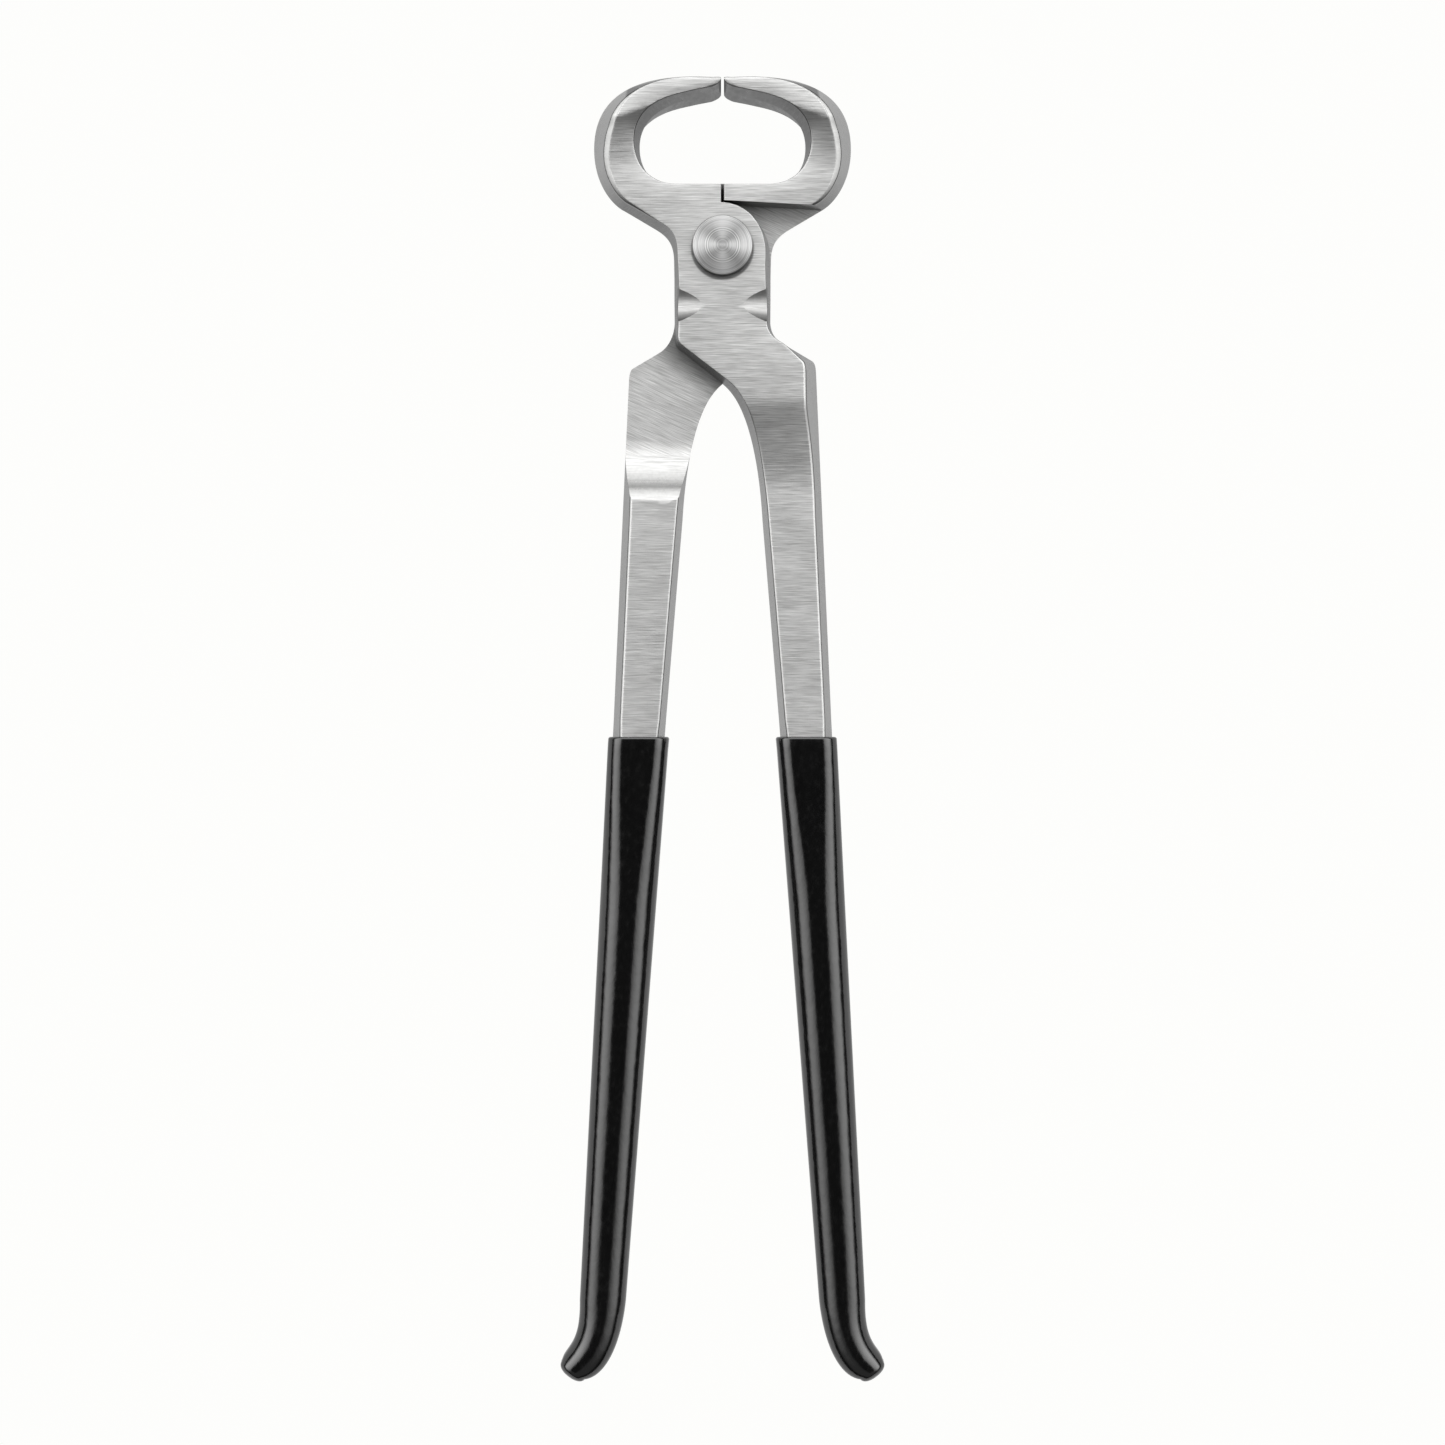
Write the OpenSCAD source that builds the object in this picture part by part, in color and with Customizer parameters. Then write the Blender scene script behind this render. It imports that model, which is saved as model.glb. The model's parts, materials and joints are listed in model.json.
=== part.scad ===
// Hoof nipper: two crossed forged halves on one rivet, with dipped grips.
// Lying flat: +Y towards the cutting edges, +Z up, Z = 0 on the bench,
// and the pivot's axis on X = 0, Y = 0. Millimetres.

/* [Head] */
// Width across the outside of the jaws
jaw_span = 70; // [66:0.5:74]
// Depth of the jaws, which is the length of the cutting edges
jaw_depth = 25; // [24:0.5:30]
// Distance from the pivot to the top of the jaws
jaw_reach = 47.2; // [46:0.1:49]
// Gap left between the two cutting edges at rest
edge_gap = 0.8; // [0.4:0.1:1.2]
// Width of the opening between the jaws
mouth_width = 45.2; // [43:0.2:46]

/* [Joint] */
// Thickness of the two laps together
joint_depth = 20; // [18:0.5:22]
// Radius of the round boss on each lap
boss_radius = 12.1; // [11.8:0.1:12.1]
// Height of the shelf above the pivot that clears the other half's boss
shelf_height = 12.4; // [12.4:0.1:12.8]
// Slope of the shelf down towards the outside of the jaw, in degrees
shelf_slope = 3; // [0:0.5:3]
// Width of the neck below the boss
neck_width = 26; // [25:0.5:27]
// Air between the two rubbing faces
lap_clearance = 0.1; // [0.04:0.02:0.2]

/* [Rivet] */
// Diameter of the rivet's two heads
rivet_head_d = 16.3; // [14:0.1:18]
// Diameter of the rivet's shank
rivet_shank_d = 10; // [8:0.5:11]
// Running clearance on the radius in the rear half
running_clearance = 0.05; // [0.02:0.01:0.1]

/* [Reins] */
// Thickness of a rein
rein_depth = 12; // [11:0.5:14]
// Distance from the pivot down to the mouth of a grip
grip_start = 132.6; // [130:0.2:140]
// Wall of the dipped vinyl grip
grip_wall = 1.2; // [1:0.1:1.6]

/* [Hidden] */
$fn = 96;

mid_z = jaw_depth / 2;
jaw_x = jaw_span / 2;
mouth_x = mouth_width / 2;
neck_x = neck_width / 2;
edge_x = edge_gap / 2;
bar_x = 0.17;          // end of the bar under the mouth, beside the other half's
bar_draft = 0.034;     // its draft, which opens the gap towards both faces
mouth_floor = 16.9;    // bottom of the mouth above the pivot
edge_y = 44.4;         // inside of the cutting edge above the pivot
lap_z = lap_clearance / 2;
joint_h = joint_depth / 2;
rein_h = rein_depth / 2;
heel_h = rein_h - 1.2; // half thickness of the rein at its foot

// The widening of the jaws: an arc that ends on a crease turned 18 degrees
crease_turn = 18;
crease_at = 41.8;
flare_run = 15;
// The lap side rises by an arc into the rein, and the outer face falls to it
ramp_start = -45;
ramp_end = -69;
face_crease = -43;
face_end = -68;
// The rein's two sides run straight between these places
rein_knee = [[15.4, -128], [29.65, -128]];
rein_heel = [[27.5, -286], [37.7, -286]];
foot_round = 2.4;      // run of a grip's rounded foot
head_air = 0.05;       // air under the rivet's rear head
rivet_ease = 0.5;      // chamfer round its heads
// The thumb scoops: round channels that fall away to the sides of the neck
scoop_tip = 5.9;
scoop_at = -16.2;
scoop_r = 6.3;
scoop_tilt = 20;

// Height of an arc that starts level and rises by rise over run, at distance d
function arc_rise(d, run, rise) =
    let (r = (run * run + rise * rise) / (2 * rise)) r - sqrt(r * r - d * d);

// Half depth of the forging at a point of its plan
function jaw_half(p) =
    let (d = -p[0] * sin(crease_turn) + p[1] * cos(crease_turn) - crease_at + flare_run)
    d <= 0 ? joint_h
    : d >= flare_run ? mid_z
    : joint_h + arc_rise(d, flare_run, mid_z - joint_h);
function rein_half(y) =
    y >= face_end ? rein_h + arc_rise(y - face_end, face_crease - face_end, joint_h - rein_h)
    : y >= -grip_start ? rein_h
    : max(heel_h, rein_h + (heel_h - rein_h) * (y + grip_start) / (rein_heel[0][1] + grip_start));
function half_depth(p) = p[1] > face_crease ? jaw_half(p) : rein_half(p[1]);

function line(a, b) = [a, a + (b - a) / 3, b - (b - a) / 3, b];
function bezier(p, t) =
    let (s = 1 - t)
    s * s * s * p[0] + 3 * s * s * t * p[1] + 3 * s * t * t * p[2] + t * t * t * p[3];

// Spans of one forging from the cutting edge to the foot of the rein:
// [jaw-back side, mouth side, steps, draft of the one side, draft of the other]
function spans(shoulder) = [
    [[[-edge_x, jaw_reach - 0.4], [-edge_x, jaw_reach - 0.1], [-0.8, jaw_reach], [-2, jaw_reach]],
     [[-edge_x, edge_y], [-0.7, 43.7], [-1.6, 43.1], [-3, 42.6]], 4, 0.08, 0],
    [[[-2, jaw_reach], [-20, jaw_reach + 1.2], [-jaw_x, 44.5], [-jaw_x, 27.5]],
     [[-3, 42.6], [-12.2, 40.9], [-mouth_x, 38.2], [-mouth_x, 28]], 16, 0.19, 0],
    [[[-jaw_x, 27.5], [-jaw_x, 19.5], [-31.3, 13.6], [-27.4, 11.1]],
     [[-mouth_x, 28], [-mouth_x, 21.5], [-18.5, mouth_floor], [-12, mouth_floor]], 12, 0.4, 0.1],
    [line([-27.4, 11.1], [-18.1, 5.6]),
     line([-12, mouth_floor], [-bar_x, mouth_floor]), 3, 0.24, bar_draft],
    [[[-18.1, 5.6], [-14.6, 3.5], [-13.4, 1.5], [-neck_x - 0.2, -2.6]],
     line([-bar_x, mouth_floor], [-bar_x, boss_radius]), 6, 0.16, bar_draft],
    [line([-neck_x - 0.2, -2.6], [-neck_x - 0.1, -8]),
     boss_arc(boss_start, boss_end), 8, 0.13, 0.04],
    [line([-neck_x - 0.1, -8], [-neck_x - 0.1, -13]),
     [boss_radius * [cos(boss_end), sin(boss_end)], [10.5, 6.6], [neck_x + 0.3, 3.4], [neck_x, -4]],
     6, 0.13, 0.06],
    [line([-neck_x - 0.1, -13], [-neck_x, -24.4]),
     line([neck_x, -4], [neck_x, -19]), 3, 0.13, 0.15],
    [[[-neck_x, -24.4], [-neck_x, -25.6], [-12.7, -26.3], [-11.8, -27]],
     [[neck_x, -19], [neck_x, -22.8], [14.4, shoulder + 6.2], [17.5, shoulder + 4.5]], 5, 0.13, 0.13],
    [line([-11.8, -27], [0, -36.4]),
     line([17.5, shoulder + 4.5], [24.4, shoulder + 0.4]), 3, 0.13, 0.15],
    [[[0, -36.4], [1.6, -37.7], [3, -39.4], [4.2, -41.6]],
     [[24.4, shoulder + 0.4], [25.1, shoulder], [25.4, shoulder - 1], [25.5, shoulder - 2.8]],
     5, 0.14, 0.3],
    [[[4.2, -41.6], [7.4, -47.5], [10, -58], [10.9, -73.5]],
     line([25.5, shoulder - 2.8], [27.25, -73.5]), 12, 0.14, 0.36],
    [line([10.9, -73.5], rein_knee[0]), line([27.25, -73.5], rein_knee[1]), 1, 0.33, 0.36],
    [line(rein_knee[0], rein_heel[0]), line(rein_knee[1], rein_heel[1]), 1, 0.33, 0.36],
    [[rein_heel[0], [28.5, -296.4], [32.4, -306.4], [38.4, -306.6]],
     [rein_heel[1], [37.5, -298.6], [41.7, -299.2], [42.8, -303.2]], 12, 0.33, 0.33]];
// A point of the rein's side k at height y
function rein_point(k, y) =
    let (run = rein_heel[k] - rein_knee[k]) rein_knee[k] + run * (y - rein_knee[k][1]) / run[1];

boss_start = 90 + asin(bar_x / boss_radius);
boss_end = 45;
// A Bezier that follows the boss clockwise between two angles
function boss_arc(a, b) =
    let (k = 4 / 3 * tan((a - b) / 4) * boss_radius,
         p = boss_radius * [cos(a), sin(a)], q = boss_radius * [cos(b), sin(b)])
    [p, p + k * [sin(a), -cos(a)], q - k * [sin(b), -cos(b)], q];

// Stations [left point, right point, left draft, right draft] along the spans
function stations(s) = [
    for (i = [0:len(s) - 1]) for (k = [0:s[i][2] - (i == len(s) - 1 ? 0 : 1)])
        let (t = k / s[i][2], n = s[min(i + 1, len(s) - 1)])
        [bezier(s[i][0], t), bezier(s[i][1], t),
         s[i][3] + (n[3] - s[i][3]) * t, s[i][4] + (n[4] - s[i][4]) * t]];

// Corners of one section: left edge, over the front face, right edge, under the back
function section(st) =
    let (l = st[0], r = st[1], u = (r - l) / norm(r - l),
         a = l + u * st[2] * half_depth(l), b = r - u * st[3] * half_depth(r),
         ha = half_depth(a), hb = half_depth(b))
    [[l[0], l[1], 0], [a[0], a[1], ha], [b[0], b[1], hb],
     [r[0], r[1], 0], [b[0], b[1], -hb], [a[0], a[1], -ha]];

// Skin over a row of sections that all have the same number of corners
module loft(rows) {
    n = len(rows[0]);
    m = len(rows);
    polyhedron(
        points = [for (r = rows) each r],
        faces = concat(
            [[for (k = [n - 1:-1:0]) k], [for (k = [0:n - 1]) (m - 1) * n + k]],
            [for (i = [0:m - 2]) for (k = [0:n - 1])
                let (j = (k + 1) % n, a = i * n, b = a + n) each
                [[a + k, a + j, b + j], [a + k, b + j, b + k]]]),
        convexity = 8);
}

// Profile along Y, carried across the whole width
module across(profile) {
    translate([-60, 0, 0]) rotate([90, 0, 90]) linear_extrude(120) polygon(profile);
}

// What the other half's lap takes out of the back of a forging
module lap_space() {
    run = ramp_start - ramp_end;
    r = (run * run + rein_h * rein_h) / (2 * rein_h);
    past = asin(run / r) + 3;
    difference() {
        across(concat(
            [[jaw_reach, lap_z], [jaw_reach, -jaw_depth]],
            [[ramp_start - r * sin(past), -jaw_depth]],
            [for (i = [8:-1:0]) let (a = past * i / 8)
                [ramp_start - r * sin(a), lap_z - r * (1 - cos(a))]]));
        translate([0, shelf_height, -jaw_depth]) rotate([0, 0, shelf_slope])
            translate([-2 * jaw_span, 0, 0]) cube([4 * jaw_span, 2 * jaw_reach, 2 * jaw_depth]);
    }
}

// Round thumb scoop on one side of the neck
module scoop(side) {
    translate([side * scoop_tip, scoop_at, joint_h])
        rotate([0, side * (90 + scoop_tilt), 0])
            translate([-side * scoop_r, 0, -scoop_r]) cylinder(h = 3 * scoop_r, r = scoop_r);
}

// One forging, front way round: jaw on the left, rein on the right
module forging(shoulder, bore_r) {
    difference() {
        loft([for (st = stations(spans(shoulder))) section(st)]);
        lap_space();
        translate([0, 0, -1]) cylinder(h = jaw_depth, r = bore_r);
        for (side = [-1, 1]) scoop(side);
    }
}

// Section of a grip: the rein's section grown by the wall, with eased corners
function grip_section(st, wall, keep) =
    let (l = st[0], r = st[1], u = (r - l) / norm(r - l), c = (l + r) / 2,
         w = (norm(r - l) / 2 + wall) * keep, h = (half_depth(c) + wall) * keep,
         face_w = w - 0.42 * h)
    [for (q = [[-w, -0.2], [-w, 0.2], [-face_w - 0.13 * h, 0.92], [0.3 * h - face_w, 1],
               [face_w - 0.3 * h, 1], [face_w + 0.13 * h, 0.92], [w, 0.2], [w, -0.2],
               [face_w + 0.13 * h, -0.92], [face_w - 0.3 * h, -1],
               [0.3 * h - face_w, -1], [-face_w - 0.13 * h, -0.92]])
        let (p = c + u * q[0]) [p[0], p[1], q[1] * h]];

// Dipped sleeve with a round foot, over the rein of one forging
module grip(shoulder) {
    whole = stations(spans(shoulder));
    mouth = [rein_point(0, -grip_start), rein_point(1, -grip_start), 0, 0];
    covered = [for (st = whole) if (st[0][1] < -grip_start - 2) st];
    foot = covered[len(covered) - 1];
    way = (foot[1] - foot[0]) / norm(foot[1] - foot[0]);
    down = foot_round * [way[1], -way[0]];
    difference() {
        loft(concat(
            [grip_section(mouth, grip_wall, 1)],
            [for (st = covered) grip_section(st, grip_wall, 1)],
            [for (a = [15:15:75])
                grip_section([foot[0] + down * sin(a), foot[1] + down * sin(a)], grip_wall, cos(a))]));
        loft([for (st = whole) section(st)]);
    }
}

// Set rivet: a shank with a turned head at each end
module rivet() {
    r = rivet_head_d / 2;
    face = r - rivet_ease;
    rise = mid_z - rivet_ease;
    shank = rivet_shank_d / 2;
    rotate_extrude($fn = 128) polygon([
        [0, -mid_z], [face, -mid_z], [r, -rise], [r, -joint_h - head_air],
        [shank, -joint_h - head_air], [shank, joint_h], [r, joint_h], [r, rise], [face, mid_z], [0, mid_z]]);
}

front_shoulder = -30.6;
rear_shoulder = -32.6;

module front_half() {
    color("silver") translate([0, 0, mid_z]) forging(front_shoulder, rivet_shank_d / 2);
}
module rear_half() {
    color("silver") translate([0, 0, mid_z]) rotate([0, 180, 0])
        forging(rear_shoulder, rivet_shank_d / 2 + running_clearance);
}
module pivot_rivet() {
    color("lightgray") translate([0, 0, mid_z]) rivet();
}
module right_grip() {
    color("black") translate([0, 0, mid_z]) grip(front_shoulder);
}
module left_grip() {
    color("black") translate([0, 0, mid_z]) rotate([0, 180, 0]) grip(rear_shoulder);
}

front_half();
rear_half();
pivot_rivet();
right_grip();
left_grip();
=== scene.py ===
"""The hoof nipper's visible model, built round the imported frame.

The tool lies flat with +Y towards its cutting edges and +Z up. The tool's lengths are written in
millimetres from the pivot's axis and from the plane where the two halves meet, and each finished
mesh is put on the frame in metres. The studio's lengths are in metres unless a line says otherwise.
Both halves follow one plan, and the rear one is turned over and has its shoulder 2 mm lower.
"""

import json
import logging
import math
from dataclasses import dataclass
from enum import Enum
from typing import Any, Callable, Optional, Sequence, Union

import bmesh
import bpy
from mathutils import Matrix, Vector


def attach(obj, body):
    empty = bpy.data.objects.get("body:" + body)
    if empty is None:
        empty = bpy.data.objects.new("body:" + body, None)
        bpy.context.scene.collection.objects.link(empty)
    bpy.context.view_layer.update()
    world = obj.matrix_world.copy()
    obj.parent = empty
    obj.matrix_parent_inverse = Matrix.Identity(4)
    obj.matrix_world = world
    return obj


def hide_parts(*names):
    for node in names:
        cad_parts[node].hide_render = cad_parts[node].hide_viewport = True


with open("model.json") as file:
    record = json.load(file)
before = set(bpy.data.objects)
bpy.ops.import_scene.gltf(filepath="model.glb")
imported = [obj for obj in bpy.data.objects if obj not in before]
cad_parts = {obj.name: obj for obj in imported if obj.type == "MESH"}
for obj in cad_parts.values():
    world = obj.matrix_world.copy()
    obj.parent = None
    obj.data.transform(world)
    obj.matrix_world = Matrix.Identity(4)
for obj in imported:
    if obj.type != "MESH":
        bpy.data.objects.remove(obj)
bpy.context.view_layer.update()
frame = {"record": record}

MM = 0.001
FULL_TURN = 2 * math.pi
# A rounded corner takes at most this share of the shorter edge beside it.
ARC_ROOM = 0.45
# The same where points lie close.
WELD_FINE = 1e-5
# Points nearer than this become one, in millimetres.
WELD = 1e-4
log = logging.getLogger("nipper")

Point = tuple[float, float]
Sizes = tuple[float, float, float]
Colour = tuple[float, float, float]
Curve = Sequence[Point]
Number = Union[float, "Wire"]
Shade = Union[Colour, "Wire"]
Weights = tuple[float, ...]


class Body(Enum):
    """The two bodies that turn on each other."""

    FRONT = "front"
    REAR = "rear"


class Slot(Enum):
    """The record's material slots."""

    FORGED = "forged_steel"
    TURNED = "turned_steel"
    VINYL = "dipped_vinyl"


# ---------------------------------------------------------------- plane geometry


def straight(a: Point, b: Point) -> Curve:
    """A straight line written as a cubic curve."""
    third = ((b[0] - a[0]) / 3, (b[1] - a[1]) / 3)
    return [a, (a[0] + third[0], a[1] + third[1]), (b[0] - third[0], b[1] - third[1]), b]


def round_bend(radius: float, start: float, end: float) -> Curve:
    """A cubic curve that follows a circle about the pivot, clockwise.

    Args:
        radius: the circle's radius.
        start: the angle it starts at, in degrees.
        end: the angle it ends at, in degrees.

    Returns:
        The curve's four control points.
    """
    a, b = math.radians(start), math.radians(end)
    reach = 4 / 3 * math.tan((a - b) / 4)
    return [
        (radius * math.cos(a), radius * math.sin(a)),
        (radius * (math.cos(a) + reach * math.sin(a)), radius * (math.sin(a) - reach * math.cos(a))),
        (radius * (math.cos(b) - reach * math.sin(b)), radius * (math.sin(b) + reach * math.cos(b))),
        (radius * math.cos(b), radius * math.sin(b)),
    ]


def along(curve: Curve, t: float) -> Vector:
    """The point of a cubic curve at parameter t."""
    s = 1 - t
    weights = (s**3, 3 * s * s * t, 3 * s * t * t, t**3)
    return Vector([sum(w * p[i] for w, p in zip(weights, curve)) for i in range(2)])


def mixed(a: float, b: float, t: float) -> float:
    """The value a share t of the way from a to b."""
    return a + (b - a) * t


def smooth(edge_low: float, edge_high: float, value: float) -> float:
    """0 below the lower edge, 1 above the higher one and an even bend between."""
    t = min(1.0, max(0.0, (value - edge_low) / (edge_high - edge_low)))
    return t * t * (3 - 2 * t)


def arc_rise(distance: float, run: float, rise: float) -> float:
    """Height at a distance along an arc that starts level and rises by rise over run."""
    radius = (run * run + rise * rise) / (2 * rise)
    return radius - math.sqrt(radius * radius - distance * distance)


@dataclass(frozen=True)
class Corner:
    """A corner of a closed outline.

    Attributes:
        place: where the corner would be if it were sharp.
        radius: what it is rounded to.
        steps: how many steps its arc has.
        between: shares of the way to the next corner's arc where the outline gets more points.
    """

    place: Vector
    radius: float
    steps: int
    between: tuple[float, ...] = ()


def rounded(corners: Sequence[Corner]) -> list[Vector]:
    """A closed outline with its corners rounded.

    Args:
        corners: the corners in order round the outline.

    Returns:
        The outline's points in order.
    """
    arcs: list[list[Vector]] = []
    for i, corner in enumerate(corners):
        before = corners[i - 1].place - corner.place
        after = corners[(i + 1) % len(corners)].place - corner.place
        half = before.angle(after) / 2
        length = min(corner.radius / math.tan(half), ARC_ROOM * min(before.length, after.length))
        start, end = before.normalized() * length, after.normalized() * length
        middle = (start + end).normalized() * (length / math.cos(half))
        first = math.atan2(*(start - middle).yx)
        sweep = math.remainder(math.atan2(*(end - middle).yx) - first, FULL_TURN)
        reach = (start - middle).length
        angles = [first + sweep * k / corner.steps for k in range(corner.steps + 1)]
        arcs.append([corner.place + middle + reach * Vector((math.cos(a), math.sin(a))) for a in angles])
    points: list[Vector] = []
    for corner, arc, following in zip(corners, arcs, [*arcs[1:], arcs[0]]):
        points += arc
        points += [arc[-1].lerp(following[0], share) for share in corner.between]
    return points


# ---------------------------------------------------------------- mesh work


class Form:
    """A mesh in the making, shaped by bmesh operators in millimetres."""

    def __init__(self) -> None:
        """Starts an empty mesh."""
        self.mesh = bmesh.new()

    def ring(self, points: Sequence[Vector]) -> list[bmesh.types.BMVert]:
        """A closed loop of edges through points."""
        loop = bmesh.ops.create_circle(self.mesh, segments=len(points), radius=1.0)["verts"]
        for vert, point in zip(loop, points):
            vert.co = point
        return loop

    def cap(self, loop: Sequence[bmesh.types.BMVert]) -> None:
        """Fills a closed loop with one face."""
        edges = [self.mesh.edges.get((a, b)) for a, b in zip(loop, [*loop[1:], loop[0]])]
        bmesh.ops.contextual_create(self.mesh, geom=edges)

    def sweep(self, sections: Sequence[Sequence[Vector]]) -> "Form":
        """Extrudes a ring through a row of sections and closes both ends.

        Args:
            sections: closed outlines with the same number of points each.

        Returns:
            This form.
        """
        loop = self.ring(sections[0])
        self.cap(loop)
        for section in sections[1:]:
            edges = [self.mesh.edges.get((a, b)) for a, b in zip(loop, [*loop[1:], loop[0]])]
            raised = bmesh.ops.extrude_edge_only(self.mesh, edges=edges)["geom"]
            fresh = {v for v in raised if isinstance(v, bmesh.types.BMVert)}
            loop = [next(e.other_vert(v) for e in v.link_edges if e.other_vert(v) in fresh) for v in loop]
            for vert, point in zip(loop, section):
                vert.co = point
        self.cap(loop)
        return self.outward()

    def slab(self, outline: Sequence[Vector], depth: Vector) -> "Form":
        """Extrudes a flat outline by depth into a closed solid."""
        loop = self.ring(outline)
        self.cap(loop)
        raised = bmesh.ops.extrude_face_region(self.mesh, geom=self.mesh.faces[:])["geom"]
        far = [v for v in raised if isinstance(v, bmesh.types.BMVert)]
        bmesh.ops.translate(self.mesh, vec=depth, verts=far)
        return self.outward()

    def lathe(self, outline: Sequence[Point], steps: int) -> "Form":
        """Spins an outline of (radius, height) points about the Z axis into a closed solid.

        Args:
            outline: points from one pole on the axis to the other.
            steps: how many steps make the full turn.

        Returns:
            This form.
        """
        verts = [bmesh.ops.create_vert(self.mesh, co=(r, 0, z))["vert"][0] for r, z in outline]
        edges = [self.mesh.edges.new(pair) for pair in zip(verts, verts[1:])]
        bmesh.ops.spin(
            self.mesh, geom=verts + edges, cent=(0, 0, 0), axis=(0, 0, 1), angle=FULL_TURN,
            steps=steps, use_merge=True, use_duplicate=False,
        )
        bmesh.ops.remove_doubles(self.mesh, verts=self.mesh.verts[:], dist=WELD_FINE)
        return self.outward()

    def cone(self, wide: float, narrow: float, start: Vector, end: Vector, segments: int) -> "Form":
        """A closed cone or cylinder from start, of radius wide, to end, of radius narrow."""
        run = end - start
        place = Matrix.Translation((start + end) / 2) @ run.to_track_quat("Z", "Y").to_matrix().to_4x4()
        bmesh.ops.create_cone(
            self.mesh, cap_ends=True, segments=segments, radius1=wide, radius2=narrow,
            depth=run.length, matrix=place,
        )
        return self.outward()

    def outward(self) -> "Form":
        """Turns every face outwards."""
        bmesh.ops.recalc_face_normals(self.mesh, faces=self.mesh.faces[:])
        return self

    def ease(self, width: float, sharpest: float, near: Callable[[Vector], bool]) -> "Form":
        """Bevels the hard edges that near accepts.

        Args:
            width: the bevel's width.
            sharpest: edges that turn by less than this, in degrees, are left.
            near: says whether an edge with this middle is to be eased.

        Returns:
            This form.
        """
        limit = math.radians(sharpest)
        hard = [
            e for e in self.mesh.edges
            if len(e.link_faces) == 2 and e.calc_face_angle(0) > limit
            and near((e.verts[0].co + e.verts[1].co) / 2)
        ]
        bmesh.ops.bevel(
            self.mesh, geom=hard, offset=width, offset_type="OFFSET", segments=2, profile=0.5,
            affect="EDGES", clamp_overlap=True, material=-1,
        )
        return self

    def carve(self, *cutters: "Form") -> "Form":
        """Cuts other forms out of this one with exact booleans."""
        work = self.scratch()
        tools = [cutter.scratch() for cutter in cutters]
        for tool in tools:
            cut = work.modifiers.new("carve", "BOOLEAN")
            cut.operation = "DIFFERENCE"
            cut.solver = "EXACT"
            cut.object = tool
        graph = bpy.context.evaluated_depsgraph_get()
        self.mesh.free()
        self.mesh = bmesh.new()
        self.mesh.from_mesh(work.evaluated_get(graph).to_mesh())
        for spare in (work, *tools):
            data = spare.data
            bpy.data.objects.remove(spare)
            bpy.data.meshes.remove(data)
        bmesh.ops.remove_doubles(self.mesh, verts=self.mesh.verts[:], dist=WELD)
        bmesh.ops.dissolve_degenerate(self.mesh, edges=self.mesh.edges[:], dist=WELD)
        return self

    def scratch(self) -> bpy.types.Object:
        """A throw-away object in the scene with this form's mesh."""
        data = bpy.data.meshes.new("scratch")
        self.mesh.to_mesh(data)
        thing = bpy.data.objects.new("scratch", data)
        bpy.context.scene.collection.objects.link(thing)
        return thing

    def placed(self, name: str, height: float, turned: bool, sharp_angle: float) -> bpy.types.Object:
        """The finished piece, in metres in the frame.

        Args:
            name: the piece's name.
            height: height of the plane where the halves meet, in metres.
            turned: whether the form is turned over about the Y axis.
            sharp_angle: edges that turn by more than this, in degrees, are shaded sharp.

        Returns:
            The object, at the origin and unscaled.
        """
        if turned:
            bmesh.ops.rotate(self.mesh, cent=(0, 0, 0), matrix=Matrix.Rotation(math.pi, 3, "Y"),
                             verts=self.mesh.verts[:])
        bmesh.ops.scale(self.mesh, vec=Vector((MM, MM, MM)), verts=self.mesh.verts[:])
        bmesh.ops.translate(self.mesh, vec=Vector((0, 0, height)), verts=self.mesh.verts[:])
        for face in self.mesh.faces:
            face.smooth = True
        data = bpy.data.meshes.new(name)
        self.mesh.to_mesh(data)
        self.mesh.free()
        data.set_sharp_from_angle(angle=math.radians(sharp_angle))
        piece = bpy.data.objects.new(name, data)
        bpy.context.scene.collection.objects.link(piece)
        return piece


# ---------------------------------------------------------------- shader work


class Wire:
    """A shader socket that takes part in Python arithmetic."""

    def __init__(self, tree: bpy.types.NodeTree, socket: bpy.types.NodeSocket) -> None:
        """Wraps one output socket of a tree."""
        self.tree = tree
        self.socket = socket

    def math(self, operation: str, *values: Number) -> "Wire":
        """The result of a Math node on this value and others."""
        return node(self.tree, "ShaderNodeMath", {"operation": operation}, dict(enumerate((self, *values))))

    def __add__(self, other: Number) -> "Wire":
        """This value plus another."""
        return self.math("ADD", other)

    def __radd__(self, other: Number) -> "Wire":
        """A number plus this value."""
        return self.math("ADD", other)

    def __sub__(self, other: Number) -> "Wire":
        """This value less another."""
        return self.math("SUBTRACT", other)

    def __rsub__(self, other: Number) -> "Wire":
        """A number less this value."""
        return node(self.tree, "ShaderNodeMath", {"operation": "SUBTRACT"}, {0: other, 1: self})

    def __mul__(self, other: Number) -> "Wire":
        """This value times another."""
        return self.math("MULTIPLY", other)

    def __rmul__(self, other: Number) -> "Wire":
        """A number times this value."""
        return self.math("MULTIPLY", other)

    def __truediv__(self, other: Number) -> "Wire":
        """This value divided by another."""
        return self.math("DIVIDE", other)

    def step(self, low: float, high: float) -> "Wire":
        """0 below low, 1 above high and a smooth bend between."""
        return node(
            self.tree, "ShaderNodeMapRange", {"interpolation_type": "SMOOTHSTEP"},
            {"Value": self, "From Min": low, "From Max": high, "To Min": 0.0, "To Max": 1.0},
        )

    def fall(self, low: float, high: float) -> "Wire":
        """1 below low, 0 above high and a smooth bend between."""
        return 1.0 - self.step(low, high)

    def between(self, rise: Point, fall: Point) -> "Wire":
        """1 past a rise and before a fall, each given by its two ends in millimetres."""
        return self.step(rise[0] * MM, rise[1] * MM) * self.fall(fall[0] * MM, fall[1] * MM)

    def clamped(self) -> "Wire":
        """This value kept between 0 and 1."""
        return node(self.tree, "ShaderNodeClamp", {}, {"Value": self, "Min": 0.0, "Max": 1.0})


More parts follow.
